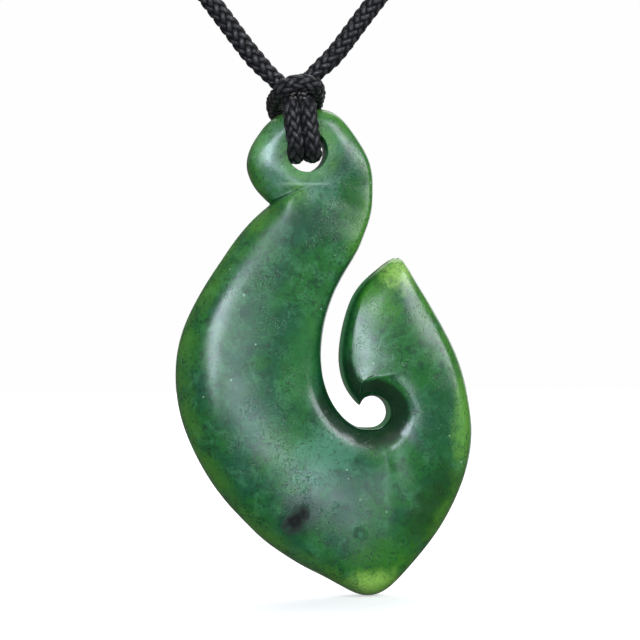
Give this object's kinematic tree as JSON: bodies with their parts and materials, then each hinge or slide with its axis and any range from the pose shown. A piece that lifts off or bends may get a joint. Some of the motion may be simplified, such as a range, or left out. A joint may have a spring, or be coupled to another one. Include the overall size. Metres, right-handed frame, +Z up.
{
  "type": "hei matau pendant on a cord",
  "caption": "Fish-hook shaped green stone pendant with a curled barb and a ring head, hung by a cow hitch on a whole black braided neck cord.",
  "frame": {"origin": "middle of the cord at the tying knot, where the cord sits on the back of the neck", "axes": "+Z up, the way that the pendant hangs; the carved front faces -Y; +X is to the right seen from the front"},
  "size_m": [0.1484, 0.0102, 0.1945],
  "materials": {
    "jade": null,
    "cord": "black waxed braid of sixteen strands, dull sheen"
  },
  "bodies": {
    "root": {"pendant": "jade", "hitch": "cord", "cord_left": "cord", "cord_right": "cord", "tying_knot": "cord"}
  },
  "joints": []
}
